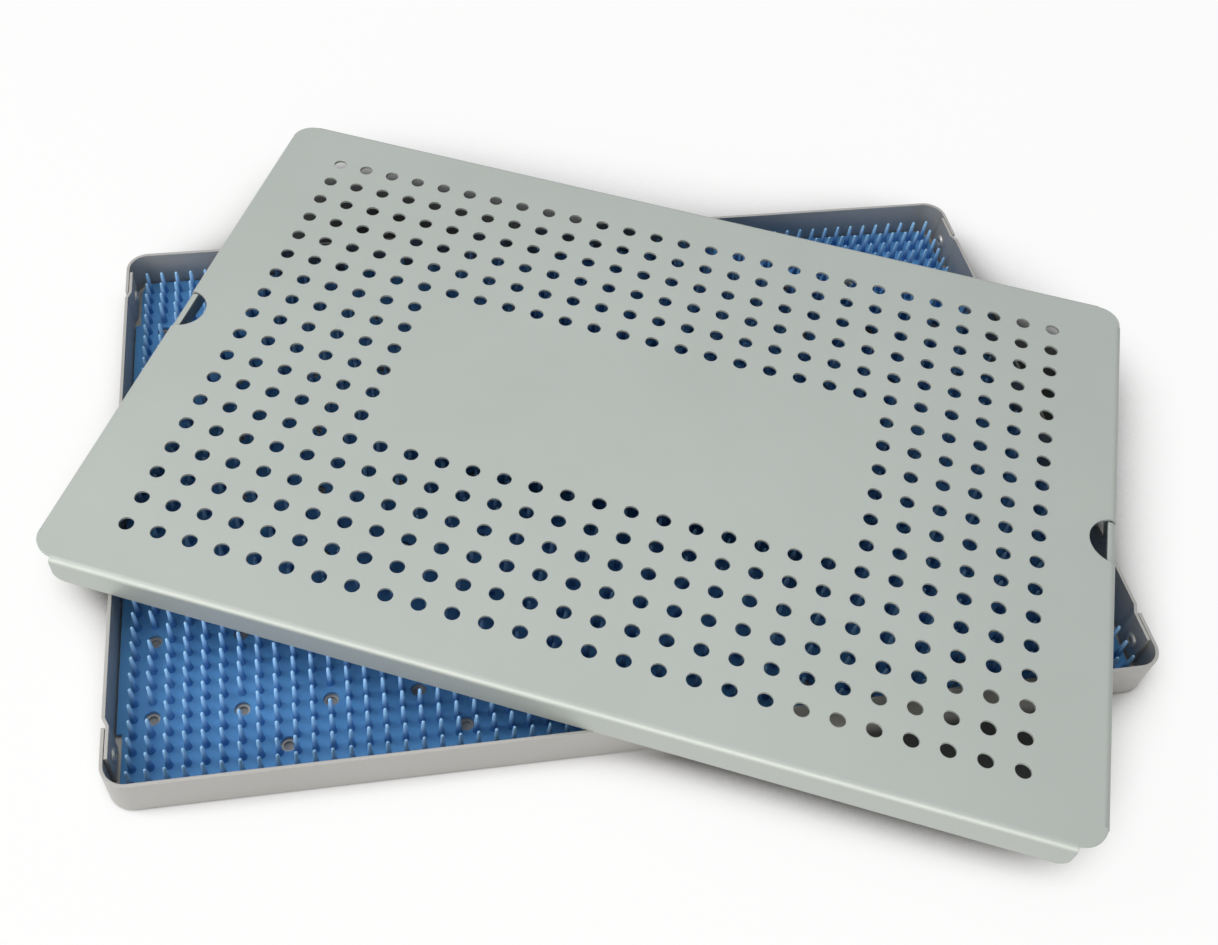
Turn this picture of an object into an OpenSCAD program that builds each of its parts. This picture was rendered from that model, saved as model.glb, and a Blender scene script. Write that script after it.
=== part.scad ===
// Perforated sterilising tray with a lift-off lid and a finger mat.
// Millimetres. Origin at the middle of the tray's underside, X along the tray, Z up.

/* [Tray] */
// Length of the tray over its end walls
tray_length = 378; // [330:1:420]
// Width of the tray over its long walls
tray_width = 253; // [210:1:290]
// Height of the tray walls
tray_height = 19; // [18:0.5:40]
// Thickness of the folded sheet
sheet = 1.2; // [0.8:0.1:1.6]
// Plan radius of the tray corners
corner_radius = 9; // [7:0.5:14]
// Outer radius of the folds between floor and walls
tray_fold = 1.8; // [1.8:0.1:3]
// Length over which tab and tongue lap at each corner
lap_length = 11.5; // [9:0.5:18]

/* [Lid] */
// Gap between the lid's flanges and the tray's walls when the lid is shut
lid_gap = 1.5; // [0.8:0.1:3]
// Height of the lid over its flanges
lid_height = 12.5; // [10:0.5:18]
// Outer radius of the folds between the lid's plate and its flanges
lid_fold = 2.5; // [2:0.1:3.5]
// Pitch of the lid holes
hole_pitch = 12.5; // [10:0.5:20]
// Diameter of the lid holes
hole_diameter = 5.7; // [3:0.1:7]
// Columns of holes left out for the plain field in the middle of the lid
plain_columns = 15; // [1:2:21]
// Rows of holes left out for the plain field in the middle of the lid
plain_rows = 6; // [0:2:12]
// Radius of the thumb cut at each end of the lid
thumb_radius = 10.5; // [7:0.5:14]
// Turn of the lid as it lies across the tray, degrees
lid_turn = -24.65; // [-40:0.05:-15]
// Offset of the lid's middle along the tray as it lies across it
lid_offset = 10.8; // [0:0.1:12]

/* [Mat] */
// Thickness of the mat's sheet
mat_sheet = 1.5; // [1:0.1:2.5]
// Gap between the mat's notched corners and the rivets
mat_gap = 0.4; // [0.3:0.1:3]
// Pitch of the fingers
finger_pitch = 6.25; // [6:0.25:10]
// Height of the fingers over the mat's sheet
finger_height = 11.5; // [6:0.5:13]
// Diameter of a finger at its root
finger_root = 2.8; // [1.6:0.1:3]
// Diameter of a finger at its tip
finger_tip = 1.3; // [0.8:0.1:1.5]
// Diameter of the mat's drain holes
drain_diameter = 5.6; // [4.6:0.1:6.4]

/* [Rivets] */
// Diameter of the rivet heads
rivet_head = 6; // [5:0.1:7]

/* [Hidden] */
$fn = 48;
cut_extra = 1;
tray_x = tray_length / 2;
tray_y = tray_width / 2;
// Along each end: free edge of the tongue, free edge of the tab, end and start of the inward step
tongue_end = tray_y - corner_radius - 2;
tab_end = tongue_end - lap_length;
step_end = tab_end - 0.6;
step_start = step_end - 3.4;
lap_gap = 0.25;
lap_shift = sheet + lap_gap;
lap_floor = tray_fold + 0.5;
tongue_face = tray_x - lap_shift - sheet;

rivet_shank = 3.2;
rivet_bore = 2.4;
rivet_rise = 0.8;
rivet_crown = rivet_head - 1.4;
rivet_grip = tray_x - tongue_face;
rivet_length = rivet_grip + 2 * rivet_rise;
rivet_y = (tab_end + tongue_end) / 2;
rivet_z = tray_height / 2;

lid_x = tray_x + lid_gap + sheet;
lid_y = tray_y + lid_gap + sheet;
// Each flat round corner of the lid's plate reaches from one flange's end to the next
plate_round = 9;
end_inset = 1;
side_inset = 2;
plate_x = lid_x - end_inset - plate_round;
plate_y = lid_y - side_inset - plate_round;
flange_round = 4.5;
// Strip of the fold along each thumb cut, a little lower than the plate and free of it at both ends
thumb_drop = 1;
thumb_lip = 0.8;
thumb_slit = 0.4;
thumb_strip = sqrt(pow(thumb_radius, 2) - pow(lid_fold + thumb_lip, 2)) - thumb_slit;
hole_end_margin = 28;
hole_side_margin = 22;
hole_columns = floor(2 * (lid_x - hole_end_margin) / hole_pitch) + 1;
hole_rows = floor(2 * (lid_y - hole_side_margin) / hole_pitch) + 1;
lid_seat = 0.05;

mat_seat = 0.2;
// The mat reaches the walls but for a small gap, and is notched at its corners behind the laps
mat_wall_gap = 0.6;
mat_notch_gap = 1.5;
mat_end = tray_x - sheet - mat_wall_gap;
mat_x = tongue_face - rivet_rise - mat_gap;
mat_y = tray_y - sheet - mat_wall_gap;
mat_round = corner_radius - sheet - mat_wall_gap;
finger_margin = 3.5;
finger_columns = floor(2 * (mat_x - finger_margin) / finger_pitch) + 1;
finger_rows = floor(2 * (mat_y - finger_margin) / finger_pitch) + 1;
// Drain holes, counted in fingers: every fifth along both ways, and a wider row near each long wall
drain_step = 5;
first_drain = 1;
middle_row = floor((finger_rows - 1) / 2);
edge_drain_step = 10;
first_edge_drain = 8.5;
edge_drain_row = 1.5;
floor_lip = 1;
floor_hole = drain_diameter - 2 * floor_lip;

// Flat plate outline with round corners
module round_outline(length, width, radius) {
    square([length - 2 * radius, width], center = true);
    square([length, width - 2 * radius], center = true);
    for (x = [-1, 1], y = [-1, 1])
        translate([x * (length / 2 - radius), y * (width / 2 - radius)])
            circle(r = radius);
}

// Quarter ring of the fold, from the flat sheet to the upright wall
module fold_outline(radius) {
    intersection() {
        translate([0, radius])
            difference() {
                circle(r = radius);
                circle(r = radius - sheet);
            }
        square([radius, radius]);
    }
}

// Upright tray wall above the fold
module upright_outline() {
    translate([tray_fold - sheet, tray_fold])
        square([sheet, tray_height - tray_fold]);
}

module wall_outline() {
    fold_outline(tray_fold);
    upright_outline();
}

// Sends a fold's outline along X, starting at the given Y
module along_x(length, start) {
    translate([0, start, 0])
        rotate([90, 0, 90])
            linear_extrude(length, center = true)
                children();
}

// Sends a fold's outline along Y, starting at the given X
module along_y(length, start) {
    translate([start, 0, 0])
        rotate([90, 0, 0])
            linear_extrude(length, center = true)
                children();
}

module both_sides() {
    children();
    mirror([0, 1, 0]) children();
}

module both_ends() {
    children();
    mirror([1, 0, 0]) children();
}

module four_corners() {
    both_sides() both_ends() children();
}

// Place of a finger, by column and row
function finger_x(column) = (column - (finger_columns - 1) / 2) * finger_pitch;
function finger_y(row) = (row - (finger_rows - 1) / 2) * finger_pitch;

function is_drain(column, row) =
    (column - first_drain) % drain_step == 0 && (row - middle_row) % drain_step == 0;

// Every second finger of the lattice stands in the model, staggered from row to row
function is_finger(column, row) = (column + row) % 2 == 0 && !is_drain(column, row);

// One outline at every drain hole: a lattice in place of fingers, and a row near each long wall
module at_drains() {
    for (column = [0 : finger_columns - 1], row = [0 : finger_rows - 1])
        if (is_drain(column, row))
            translate([finger_x(column), finger_y(row)]) children();
    for (column = [first_edge_drain : edge_drain_step : finger_columns - 2])
        for (row = [edge_drain_row, finger_rows - 1 - edge_drain_row])
            translate([finger_x(column), finger_y(row)]) children();
}

// End wall's inward step and its tongue, lying behind the long wall's tab
module lap_outline() {
    polygon([
        [tray_x, step_start],
        [tray_x - lap_shift, step_end],
        [tongue_face, step_end],
        [tray_x - sheet, step_start]
    ]);
    translate([tongue_face, step_end])
        square([sheet, tongue_end - step_end]);
}

// Floor with its drain holes, up to the folds
module tray_floor() {
    linear_extrude(sheet)
        difference() {
            round_outline(
                tray_length - 2 * tray_fold,
                tray_width - 2 * tray_fold,
                corner_radius - tray_fold
            );
            at_drains() circle(d = floor_hole);
        }
}

// Round corner of the long wall, its tab, and the end wall's tongue behind it
module tray_corner() {
    translate([tray_x - corner_radius, tray_y - corner_radius, 0])
        rotate_extrude(angle = 90)
            translate([corner_radius - tray_fold, 0])
                wall_outline();
    translate([tray_x - sheet, tab_end, lap_floor])
        cube([sheet, tray_y - corner_radius - tab_end, tray_height - lap_floor]);
    translate([0, 0, lap_floor])
        linear_extrude(tray_height - lap_floor)
            lap_outline();
}

// Tray folded from one sheet, with rivet holes through its laps
module tray() {
    color("#B4B4AE")
        difference() {
            union() {
                tray_floor();
                both_sides() along_x(2 * (tray_x - corner_radius), tray_y - tray_fold) wall_outline();
                both_ends() {
                    along_y(2 * (tray_y - corner_radius), tray_x - tray_fold) fold_outline(tray_fold);
                    along_y(2 * step_start, tray_x - tray_fold) upright_outline();
                }
                four_corners() tray_corner();
            }
            four_corners()
                translate([tongue_face - cut_extra, rivet_y, rivet_z])
                    rotate([0, 90, 0])
                        cylinder(d = rivet_shank, h = rivet_grip + 2 * cut_extra);
        }
}

// Hollow rivet through tab and tongue at each corner, its bore open to the inside
module corner_rivets() {
    color("#A9A9A6")
        four_corners()
            translate([tray_x + rivet_rise, rivet_y, rivet_z])
                rotate([0, -90, 0])
                    difference() {
                        union() {
                            cylinder(d1 = rivet_crown, d2 = rivet_head, h = rivet_rise);
                            cylinder(d = rivet_shank, h = rivet_length);
                            translate([0, 0, rivet_rise + rivet_grip])
                                cylinder(d1 = rivet_head, d2 = rivet_crown, h = rivet_rise);
                        }
                        translate([0, 0, rivet_rise])
                            cylinder(d = rivet_bore, h = rivet_length);
                    }
}

// Outline of the mat, with a shallow notch at each corner
module mat_outline() {
    round_outline(2 * mat_x, 2 * mat_y, mat_round);
    square([2 * mat_end, 2 * (step_start - mat_notch_gap)], center = true);
}

// Rubber mat with rows of tapered fingers and drain holes
module finger_mat() {
    color("#3E73B5")
        translate([0, 0, sheet + mat_seat]) {
            linear_extrude(mat_sheet)
                difference() {
                    mat_outline();
                    at_drains() circle(d = drain_diameter);
                }
            for (column = [0 : finger_columns - 1], row = [0 : finger_rows - 1])
                if (is_finger(column, row))
                    translate([finger_x(column), finger_y(row), mat_sheet])
                        cylinder(d1 = finger_root, d2 = finger_tip, h = finger_height);
        }
}

// Round hole pattern of the lid, left out over the plain field in the middle
module lid_holes() {
    for (column = [0 : hole_columns - 1], row = [0 : hole_rows - 1]) {
        across = column - (hole_columns - 1) / 2;
        up = row - (hole_rows - 1) / 2;
        if (abs(across) > plain_columns / 2 || abs(up) > plain_rows / 2)
            translate(hole_pitch * [across, up]) circle(d = hole_diameter);
    }
}

// Lid plate up to its folds, and out to the round corners between them
module plate_outline() {
    square([2 * (lid_x - lid_fold), 2 * plate_y], center = true);
    square([2 * plate_x, 2 * (lid_y - lid_fold)], center = true);
    four_corners()
        translate([plate_x, plate_y])
            intersection() {
                circle(r = plate_round);
                square(plate_round);
            }
}

// Flange outline from the fold's end to its free edge, where its corners are round
module flange_outline(half) {
    intersection() {
        translate([-half, lid_fold])
            square([2 * half, lid_height - lid_fold]);
        round_outline(2 * half, 2 * lid_height, flange_round);
    }
}

// Lid without its thumb strips, drawn upside down: plate at the bottom, flanges standing up
module lid_shell() {
    difference() {
        union() {
            linear_extrude(sheet)
                difference() {
                    plate_outline();
                    lid_holes();
                }
            both_sides() {
                along_x(2 * plate_x, lid_y - lid_fold) fold_outline(lid_fold);
                translate([0, lid_y, 0])
                    rotate([90, 0, 0])
                        linear_extrude(sheet)
                            flange_outline(plate_x);
            }
            both_ends() {
                along_y(2 * plate_y, lid_x - lid_fold) fold_outline(lid_fold);
                translate([lid_x - sheet, 0, 0])
                    rotate([90, 0, 90])
                        linear_extrude(sheet)
                            flange_outline(plate_y);
            }
        }
        both_ends()
            translate([lid_x, 0, -cut_extra])
                cylinder(r = thumb_radius, h = lid_fold + thumb_drop + cut_extra);
    }
}

// Whole lid, drawn upside down
module lid_upturned() {
    lid_shell();
    both_ends()
        translate([0, 0, thumb_drop])
            along_y(2 * thumb_strip, lid_x - lid_fold) {
                fold_outline(lid_fold);
                translate([-thumb_lip, 0])
                    square([thumb_lip, sheet]);
            }
}

// Folded lid lying level across the tray's rims
module lid() {
    color("#BEC4BC")
        translate([lid_offset, 0, tray_height + lid_seat + lid_height])
            rotate([0, 0, lid_turn])
                mirror([0, 0, 1])
                    lid_upturned();
}

tray();
corner_rivets();
finger_mat();
lid();
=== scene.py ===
"""Perforated instrument tray with a finger mat, its lid lying askew across the rims."""
import math

import bpy
import bmesh
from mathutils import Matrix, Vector
from mathutils.geometry import delaunay_2d_cdt


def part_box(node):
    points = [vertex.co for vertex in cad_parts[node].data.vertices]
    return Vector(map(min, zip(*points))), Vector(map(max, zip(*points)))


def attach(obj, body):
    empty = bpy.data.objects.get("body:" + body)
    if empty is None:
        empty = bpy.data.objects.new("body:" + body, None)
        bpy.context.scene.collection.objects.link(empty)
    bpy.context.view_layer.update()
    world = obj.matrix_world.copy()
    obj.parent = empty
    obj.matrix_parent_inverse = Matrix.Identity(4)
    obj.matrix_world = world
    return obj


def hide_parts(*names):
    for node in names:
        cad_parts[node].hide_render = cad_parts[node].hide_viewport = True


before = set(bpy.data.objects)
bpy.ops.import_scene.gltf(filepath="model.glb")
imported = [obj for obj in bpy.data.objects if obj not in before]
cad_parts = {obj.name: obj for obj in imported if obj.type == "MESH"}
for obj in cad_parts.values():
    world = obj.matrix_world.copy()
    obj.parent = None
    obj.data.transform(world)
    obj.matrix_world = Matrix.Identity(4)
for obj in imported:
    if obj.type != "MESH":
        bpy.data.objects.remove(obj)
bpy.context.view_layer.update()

MM = 0.001

# Mat sizes, the same as in the part's source; root, tip and drain are radii here
MAT_SHEET = 1.5 * MM
MAT_ROUND = 7.2 * MM
MAT_NOTCH_X = 185.15 * MM
MAT_NOTCH_Y = 98.5 * MM
FINGER_PITCH = 6.25 * MM
FINGER_COLUMNS = 59
FINGER_ROWS = 39
FINGER_ROOT = 1.4 * MM
FINGER_TIP = 0.65 * MM
DRAIN_RADIUS = 2.8 * MM
DRAIN_STEP = 5
FIRST_DRAIN = 1
MIDDLE_ROW = (FINGER_ROWS - 1) // 2
EDGE_DRAIN_STEP = 10
FIRST_EDGE_DRAIN = 8.5
EDGE_DRAIN_ROW = 1.5

# Steps round a corner of the mat, points round a drain and sides of a finger
CORNER_STEPS = 8
DRAIN_POINTS = 24
FINGER_SIDES = 8

# Angle in degrees above which an edge of the mat's sheet or of a finger is shaded sharp
SHEET_CREASE = 40
FINGER_CREASE = 60

# Most that a finger leans, as a slope, and the factors that scatter it over columns and rows
LEAN_SLOPE = 0.012
SCATTER_X = (12.9, 78.2)
SCATTER_Y = (39.3, 11.1)

# Heights over the mat's sheet between which a finger turns from painted shade at the root to painted light
# at the tip
FINGER_SHADE_END = 2.5 * MM
FINGER_LIGHT_FULL = 7.5 * MM

# Silicone, each as its tone low down, its tone high up and its shine; on the fingers the low tone is
# painted shade at the root and the high tone is painted light at the tip
SHEET_RUBBER = ((0.09, 0.30, 0.62), (0.11, 0.33, 0.66), 0.15)
FINGER_RUBBER_AND_PAINTED_LIGHT = ((0.04, 0.17, 0.45), (0.31, 0.58, 0.90), 0.4)
RUBBER_ROUGHNESS = (0.38, 0.5)

# Satin metal, each as two tones that it drifts between and the span of its roughness
LID_METAL = ((0.39, 0.428, 0.406), (0.411, 0.445, 0.423), (0.48, 0.56))
TRAY_METAL = ((0.375, 0.372, 0.36), (0.395, 0.392, 0.38), (0.42, 0.5))
RIVET_METAL = ((0.43, 0.43, 0.42), (0.46, 0.46, 0.45), (0.32, 0.4))

# Share of bare metal under the anodised film, and the radius to which its edges look eased
METAL_SHARE = 0.5
METAL_EDGE = 0.35 * MM

# Span that a noise texture mostly stays in, and the depth of a surface's grain
NOISE_SPAN = (0.3, 0.7)
GRAIN_DEPTH = 0.1 * MM

# Floor in the open, its painted shade under the lid, its grey painted shade below a drain, and the side,
# where most light comes from, that the painted shade looks to for free sky
FLOOR_PALE = (0.93, 0.93, 0.93)
FLOOR_SHADE = (0.08, 0.082, 0.086)
FLOOR_DRAIN_SHADE = (0.5, 0.5, 0.5)
FLOOR_SIZE = 12
FLOOR_DROP = 0.2 * MM
LIGHT_SIDE = (-0.27, -0.48, 0.84)

# Reach of the lid's painted shade and of a drain's, each with the shares of free sky from full painted
# shade to none
FAR_REACH = 150 * MM
FAR_SPAN = (0.5, 0.85)
NEAR_REACH = 6 * MM
NEAR_SPAN = (0.5, 0.9)

# Openness over which the floor turns white to the eye, and how far it does; the glow is held back where
# the floor's shade is painted
GLOW_SPAN = (0.2, 1)
GLOW_MOST = 0.9

# Light of the surroundings, with the direction that it grows towards
SKY_STRENGTH = 0.32
SKY_SIDE = (-0.2, 0.95, 0)
SKY_SPAN = (-0.7, 0.9)
SKY_FRONT = (0.4, 0.41, 0.42)
SKY_BACK = (1.3, 1.3, 1.28)

# Lamps, each as its place, size, power and tint
LAMPS = {
    "top_softbox": ((0.05, 0.4, 1.4), (1.4, 1.6), 5.5, (1, 0.995, 0.98)),
    "left_softbox": ((-1.6, 0.3, 1.2), (1.0, 1.0), 14, (1, 0.995, 0.98)),
    "front_softbox": ((-0.75, -1.3, 0.65), (2.6, 1.0), 27, (1, 0.95, 0.9)),
}

# Camera of the photograph
CAMERA_PLACE = (-0.09415, -0.33352, 0.44592)
CAMERA_TURN = (39.170, -3.028, -8.739)
CAMERA_SENSOR = 36
CAMERA_LENS = 40.296
CAMERA_SHIFT = (0.0495, -0.0343)
CAMERA_NEAR = 10 * MM


# Lattice and outlines

def finger_place(column, row):
    """Middle of a place on the mat's finger lattice."""
    x = (column - (FINGER_COLUMNS - 1) / 2) * FINGER_PITCH
    y = (row - (FINGER_ROWS - 1) / 2) * FINGER_PITCH
    return x, y


def is_drain(column, row):
    """Whether a drain hole takes the place of a finger."""
    return (column - FIRST_DRAIN) % DRAIN_STEP == 0 and (row - MIDDLE_ROW) % DRAIN_STEP == 0


def lattice():
    """Every column and row of the finger lattice."""
    return [(column, row) for column in range(FINGER_COLUMNS) for row in range(FINGER_ROWS)]


def drain_places():
    """Drain holes in place of fingers, and a wider row of them near each long wall."""
    places = [finger_place(*at) for at in lattice() if is_drain(*at)]
    column = FIRST_EDGE_DRAIN
    while column <= FINGER_COLUMNS - 2:
        for row in (EDGE_DRAIN_ROW, FINGER_ROWS - 1 - EDGE_DRAIN_ROW):
            places.append(finger_place(column, row))
        column += EDGE_DRAIN_STEP
    return places


def circle(centre, radius, count):
    """Points round a circle, counter-clockwise."""
    steps = [2 * math.pi * k / count for k in range(count)]
    return [Vector((centre[0] + radius * math.cos(a), centre[1] + radius * math.sin(a))) for a in steps]


def round_rectangle(half_x, half_y, radius, count):
    """Points round a rectangle with round corners, counter-clockwise."""
    points = []
    for quarter, (sx, sy) in enumerate(((1, 1), (-1, 1), (-1, -1), (1, -1))):
        middle = Vector((sx * (half_x - radius), sy * (half_y - radius)))
        for k in range(count + 1):
            a = math.pi / 2 * (quarter + k / count)
            points.append(middle + radius * Vector((math.cos(a), math.sin(a))))
    return points


def mat_outline(half_x, half_y):
    """Points round the mat: round corners, each with a shallow notch behind the tray's lap."""
    points = round_rectangle(MAT_NOTCH_X, half_y, MAT_ROUND, CORNER_STEPS)
    half = len(points) // 2
    left = [(-MAT_NOTCH_X, 1), (-half_x, 1), (-half_x, -1), (-MAT_NOTCH_X, -1)]
    left = [Vector((x, side * MAT_NOTCH_Y)) for x, side in left]
    right = [-p for p in left]
    return points[:half] + left + points[half:] + right


# Node helpers

def new_material(name):
    """A node material, with its nodes, links and shader."""
    material = bpy.data.materials.new(name)
    material.use_nodes = True
    nodes = material.node_tree.nodes
    return material, nodes, material.node_tree.links, nodes["Principled BSDF"]


def noise(nodes, links, vector, scale, detail, rough=0.55):
    """Noise over a vector, giving its factor socket."""
    node = nodes.new("ShaderNodeTexNoise")
    node.inputs["Scale"].default_value = scale
    node.inputs["Detail"].default_value = detail
    node.inputs["Roughness"].default_value = rough
    links.new(vector, node.inputs["Vector"])
    return node.outputs["Fac"]


def ranged(nodes, links, value, span, to_span):
    """Maps a value from one span to another, clamped."""
    node = nodes.new("ShaderNodeMapRange")
    node.inputs["From Min"].default_value, node.inputs["From Max"].default_value = span
    node.inputs["To Min"].default_value, node.inputs["To Max"].default_value = to_span
    links.new(value, node.inputs["Value"])
    return node.outputs["Result"]


def blended(nodes, links, factor, first, second):
    """Colour between two, by a factor."""
    node = nodes.new("ShaderNodeMix")
    node.data_type = "RGBA"
    links.new(factor, node.inputs["Factor"])
    for socket, colour in (("A", first), ("B", second)):
        place = next(s for s in node.inputs if s.name == socket and s.type == "RGBA")
        if isinstance(colour, tuple):
            place.default_value = (*colour, 1)
        else:
            links.new(colour, place)
    return next(s for s in node.outputs if s.type == "RGBA")


def combined(nodes, links, operation, first, second):
    """Result of a maths operation on two values."""
    node = nodes.new("ShaderNodeMath")
    node.operation = operation
    links.new(first, node.inputs[0])
    links.new(second, node.inputs[1])
    return node.outputs["Value"]


def bumped(nodes, links, grain, strength):
    """Bump node that raises a fine grain."""
    node = nodes.new("ShaderNodeBump")
    node.inputs["Strength"].default_value = strength
    node.inputs["Distance"].default_value = GRAIN_DEPTH
    links.new(grain, node.inputs["Height"])
    return node


def seen_share(nodes, links):
    """One for rays that show the background: straight to the eye, mirrored, or through something clear."""
    path = nodes.new("ShaderNodeLightPath")
    share = path.outputs["Is Camera Ray"]
    for kind in ("Is Glossy Ray", "Is Transmission Ray"):
        share = combined(nodes, links, "MAXIMUM", share, path.outputs[kind])
    return share


def open_sky(nodes, samples, reach):
    """Node that gathers how much of the sky is free within a reach."""
    node = nodes.new("ShaderNodeAmbientOcclusion")
    node.samples = samples
    node.inputs["Distance"].default_value = reach
    return node


def mix_into(nodes, links, share, first, second, output):
    """Sends two shaders, mixed by a share, to an output node."""
    mix = nodes.new("ShaderNodeMixShader")
    links.new(share, mix.inputs["Fac"])
    links.new(first, mix.inputs[1])
    links.new(second, mix.inputs[2])
    links.new(mix.outputs["Shader"], nodes[output].inputs["Surface"])


# Materials

def satin_metal(name, colour, other, rough_span):
    """Blasted and anodised aluminium, dull as an oxide film: a fine grain and slightly eased edges."""
    material, nodes, links, shader = new_material(name)
    place = nodes.new("ShaderNodeTexCoord").outputs["Object"]
    drift = noise(nodes, links, place, scale=14, detail=4)
    cloud = ranged(nodes, links, drift, NOISE_SPAN, (0, 1))
    links.new(blended(nodes, links, cloud, colour, other), shader.inputs["Base Color"])
    grain = noise(nodes, links, place, scale=2600, detail=3, rough=0.7)
    links.new(ranged(nodes, links, grain, NOISE_SPAN, rough_span), shader.inputs["Roughness"])
    shader.inputs["Metallic"].default_value = METAL_SHARE
    edge = nodes.new("ShaderNodeBevel")
    edge.samples = 6
    edge.inputs["Radius"].default_value = METAL_EDGE
    bump = bumped(nodes, links, grain, strength=0.06)
    links.new(edge.outputs["Normal"], bump.inputs["Normal"])
    links.new(bump.outputs["Normal"], shader.inputs["Normal"])
    return material


def silicone(name, low_colour, high_colour, shine, height_span):
    """Soft silicone rubber that pales over a span of height, with a faint moulded grain; on the fingers
    the paling is painted shade at the root and painted light at the tip.
    """
    cloud_most = 0.25
    material, nodes, links, shader = new_material(name)
    place = nodes.new("ShaderNodeTexCoord").outputs["Object"]
    split = nodes.new("ShaderNodeSeparateXYZ")
    links.new(place, split.inputs["Vector"])
    height = ranged(nodes, links, split.outputs["Z"], height_span, (0, 1))
    tone = blended(nodes, links, height, low_colour, high_colour)
    drift = noise(nodes, links, place, scale=60, detail=3)
    cloud = ranged(nodes, links, drift, NOISE_SPAN, (0, cloud_most))
    links.new(blended(nodes, links, cloud, tone, high_colour), shader.inputs["Base Color"])
    grain = noise(nodes, links, place, scale=1800, detail=2)
    links.new(ranged(nodes, links, grain, NOISE_SPAN, RUBBER_ROUGHNESS), shader.inputs["Roughness"])
    shader.inputs["Specular IOR Level"].default_value = shine
    bump = bumped(nodes, links, grain, strength=0.08)
    links.new(bump.outputs["Normal"], shader.inputs["Normal"])
    return material


# Mat

def mat_sheet(bottom, half_x, half_y):
    """The mat's sheet: a round-cornered plate with drain holes, its edges eased."""
    ease = 0.25 * MM
    rim_angle = math.radians(60)
    merge_distance = 1e-7
    # Asks for the faces within the outline; those over the drains are left out below
    inside_faces = 1
    rings = [mat_outline(half_x, half_y)]
    rings += [circle(place, DRAIN_RADIUS, DRAIN_POINTS) for place in drain_places()]
    points = [p for ring in rings for p in ring]
    edges = []
    for ring in rings:
        first = len(edges)
        edges += [(first + k, first + (k + 1) % len(ring)) for k in range(len(ring))]
    ring_of = [k for k, ring in enumerate(rings) for _ in ring]
    flat, _, faces, _, _, _ = delaunay_2d_cdt(points, edges, [], inside_faces, merge_distance)
    bm = bmesh.new()
    grid = [bm.verts.new((p.x, p.y, bottom)) for p in flat]
    for face in faces:
        owners = {ring_of[k] for k in face}
        in_drain = len(owners) == 1 and 0 not in owners
        if not in_drain:
            bm.faces.new([grid[k] for k in face])
    raised = bmesh.ops.extrude_face_region(bm, geom=bm.faces[:])
    upper = [v for v in raised["geom"] if isinstance(v, bmesh.types.BMVert)]
    bmesh.ops.translate(bm, verts=upper, vec=(0, 0, MAT_SHEET))
    bmesh.ops.recalc_face_normals(bm, faces=bm.faces)
    rims = [e for e in bm.edges if e.is_manifold and e.calc_face_angle() > rim_angle]
    bmesh.ops.bevel(bm, geom=rims, offset=ease, segments=2, profile=0.5, affect="EDGES")
    return bm


def finger_profile(height):
    """Radius and height of a finger's rings: a flared root, a tapered stem and a round tip."""
    sunk = 0.2 * MM
    flare = 0.15 * MM
    waist = 0.4 * MM
    stem_shares = (0.07, 0.5, 1)
    tip_turn = math.radians(50)
    shoulder = height - FINGER_TIP
    rings = [(FINGER_ROOT + flare, -sunk)]
    for share in stem_shares:
        taper = FINGER_ROOT + (FINGER_TIP - FINGER_ROOT) * share
        rings.append((taper - waist * share * (1 - share), share * shoulder))
    rings.append((FINGER_TIP * math.cos(tip_turn), shoulder + FINGER_TIP * math.sin(tip_turn)))
    return rings


def finger_lean(column, row, scatter):
    """Slope of a finger along one axis."""
    return LEAN_SLOPE * math.sin(column * scatter[0] + row * scatter[1])


def mat_fingers(bottom, height):
    """All fingers of the mat, each leaning by a hair."""
    rings = finger_profile(height)
    bm = bmesh.new()
    for column, row in lattice():
        if is_drain(column, row):
            continue
        x, y = finger_place(column, row)
        lean_x = finger_lean(column, row, SCATTER_X)
        lean_y = finger_lean(column, row, SCATTER_Y)
        rows = []
        for radius, z in rings:
            up = max(z, 0)
            middle = Vector((x + lean_x * up, y + lean_y * up))
            ring = circle(middle, radius, FINGER_SIDES)
            rows.append([bm.verts.new((p.x, p.y, bottom + z)) for p in ring])
        tip = bm.verts.new((x + lean_x * height, y + lean_y * height, bottom + height))
        bm.faces.new(rows[0][::-1])
        for lower, upper in zip(rows, rows[1:]):
            for k in range(FINGER_SIDES):
                n = (k + 1) % FINGER_SIDES
                bm.faces.new((lower[k], lower[n], upper[n], upper[k]))
        for k in range(FINGER_SIDES):
            bm.faces.new((rows[-1][k], rows[-1][(k + 1) % FINGER_SIDES], tip))
    return bm


def piece_from(name, bm, material, body, smooth_angle):
    """Makes a shown piece from a bmesh, riding on a body."""
    bmesh.ops.recalc_face_normals(bm, faces=bm.faces)
    mesh = bpy.data.meshes.new(name)
    bm.to_mesh(mesh)
    bm.free()
    mesh.shade_smooth()
    mesh.set_sharp_from_angle(angle=math.radians(smooth_angle))
    mesh.materials.append(material)
    piece = bpy.data.objects.new(name, mesh)
    bpy.context.scene.collection.objects.link(piece)
    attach(piece, body)
    return piece


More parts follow.
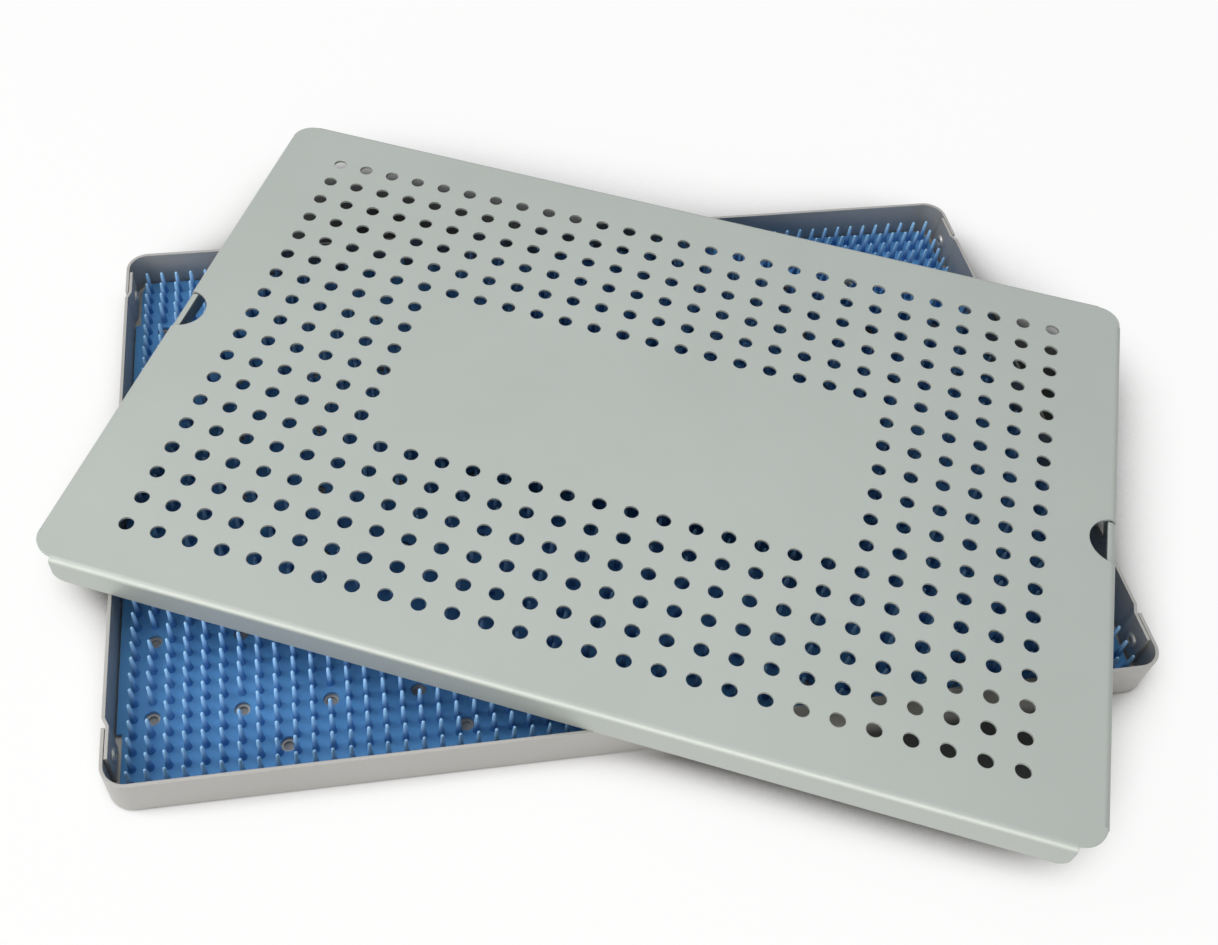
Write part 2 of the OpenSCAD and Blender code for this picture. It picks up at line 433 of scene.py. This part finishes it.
def make_mat():
    """Replaces the mat's solid with its sheet and its full set of fingers."""
    low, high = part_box("finger_mat")
    sheet_top = low.z + MAT_SHEET
    # Over this span of height the fingers go from painted shade at the root to painted light at the tip
    painted_shade_span = (sheet_top + FINGER_SHADE_END, sheet_top + FINGER_LIGHT_FULL)
    sheet_rubber = silicone("mat_sheet_rubber", *SHEET_RUBBER, (low.z, sheet_top))
    finger_rubber = silicone("mat_finger_rubber_painted_light", *FINGER_RUBBER_AND_PAINTED_LIGHT, painted_shade_span)
    sheet_mesh = mat_sheet(low.z, high.x, high.y)
    sheet = piece_from("mat_sheet", sheet_mesh, sheet_rubber, "mat", SHEET_CREASE)
    finger_mesh = mat_fingers(sheet_top, high.z - sheet_top)
    fingers = piece_from("mat_fingers", finger_mesh, finger_rubber, "mat", FINGER_CREASE)
    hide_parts("finger_mat")
    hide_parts("finger_mat")


# Metal pieces

def paint(node, material):
    """Gives a CAD node its finish."""
    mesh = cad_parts[node].data
    mesh.materials.clear()
    mesh.materials.append(material)


def finish_metal():
    """Gives each metal node its own satin finish."""
    paint("lid", satin_metal("lid_satin", *LID_METAL))
    paint("tray", satin_metal("tray_satin", *TRAY_METAL))
    paint("corner_rivets", satin_metal("rivet_satin", *RIVET_METAL))


# Stage

def make_floor():
    """Pale floor, white to the eye in the open, with shade painted into its colour: dark under the lid and
    grey below a drain.
    """
    material, nodes, links, shader = new_material("floor_white_painted_shade")
    shader.inputs["Roughness"].default_value = 0.9
    shader.inputs["Specular IOR Level"].default_value = 0
    aim = nodes.new("ShaderNodeVectorMath")
    aim.operation = "NORMALIZE"
    aim.inputs[0].default_value = LIGHT_SIDE
    far_sky = open_sky(nodes, samples=32, reach=FAR_REACH)
    links.new(aim.outputs["Vector"], far_sky.inputs["Normal"])
    # How free the sky is sets where the floor's shade is painted under the lid
    open_share = ranged(nodes, links, far_sky.outputs["AO"], FAR_SPAN, (0, 1))
    tone = blended(nodes, links, open_share, FLOOR_SHADE, FLOOR_PALE)
    near_sky = open_sky(nodes, samples=8, reach=NEAR_REACH)
    # A grey shade is painted on the floor below a drain
    in_drain = ranged(nodes, links, near_sky.outputs["AO"], NEAR_SPAN, (1, 0))
    links.new(blended(nodes, links, in_drain, tone, FLOOR_DRAIN_SHADE), shader.inputs["Base Color"])
    glow = nodes.new("ShaderNodeEmission")
    # The white glow is held back where the floor's shade is painted
    glow_share = ranged(nodes, links, open_share, GLOW_SPAN, (0, GLOW_MOST))
    share = combined(nodes, links, "MULTIPLY", seen_share(nodes, links), glow_share)
    mix_into(nodes, links, share, shader.outputs["BSDF"], glow.outputs["Emission"], "Material Output")
    bpy.ops.mesh.primitive_plane_add(size=FLOOR_SIZE, location=(0, 0, -FLOOR_DROP))
    floor = bpy.context.object
    floor.name = "floor"
    floor.data.materials.append(material)


def make_world():
    """Soft surroundings that light the tray more from behind than from in front, and look white."""
    world = bpy.data.worlds.new("studio")
    world.use_nodes = True
    bpy.context.scene.world = world
    nodes, links = world.node_tree.nodes, world.node_tree.links
    back = nodes["Background"]
    back.inputs["Strength"].default_value = SKY_STRENGTH
    place = nodes.new("ShaderNodeTexCoord").outputs["Generated"]
    side = nodes.new("ShaderNodeVectorMath")
    side.operation = "DOT_PRODUCT"
    side.inputs[1].default_value = SKY_SIDE
    links.new(place, side.inputs[0])
    behind = ranged(nodes, links, side.outputs["Value"], SKY_SPAN, (0, 1))
    links.new(blended(nodes, links, behind, SKY_FRONT, SKY_BACK), back.inputs["Color"])
    white = nodes.new("ShaderNodeBackground")
    white.inputs["Color"].default_value = (1, 1, 1, 1)
    seen = seen_share(nodes, links)
    mix_into(nodes, links, seen, back.outputs["Background"], white.outputs["Background"], "World Output")


def make_lamp(name, place, size, power, colour):
    """A soft rectangular lamp aimed at the tray."""
    data = bpy.data.lights.new(name, "AREA")
    data.shape = "RECTANGLE"
    data.size, data.size_y = size
    data.energy = power
    data.color = colour
    lamp = bpy.data.objects.new(name, data)
    lamp.location = place
    lamp.rotation_euler = (-Vector(place)).to_track_quat("-Z", "Y").to_euler()
    bpy.context.scene.collection.objects.link(lamp)


def make_camera():
    """The photograph's view."""
    data = bpy.data.cameras.new("camera")
    data.sensor_width = CAMERA_SENSOR
    data.lens = CAMERA_LENS
    data.shift_x, data.shift_y = CAMERA_SHIFT
    data.clip_start = CAMERA_NEAR
    camera = bpy.data.objects.new("camera", data)
    camera.location = CAMERA_PLACE
    camera.rotation_euler = [math.radians(a) for a in CAMERA_TURN]
    bpy.context.scene.collection.objects.link(camera)
    bpy.context.scene.camera = camera


make_mat()
finish_metal()
make_floor()
make_world()
for lamp_name, lamp_values in LAMPS.items():
    make_lamp(lamp_name, *lamp_values)
make_camera()
bpy.context.scene.view_settings.view_transform = "Standard"
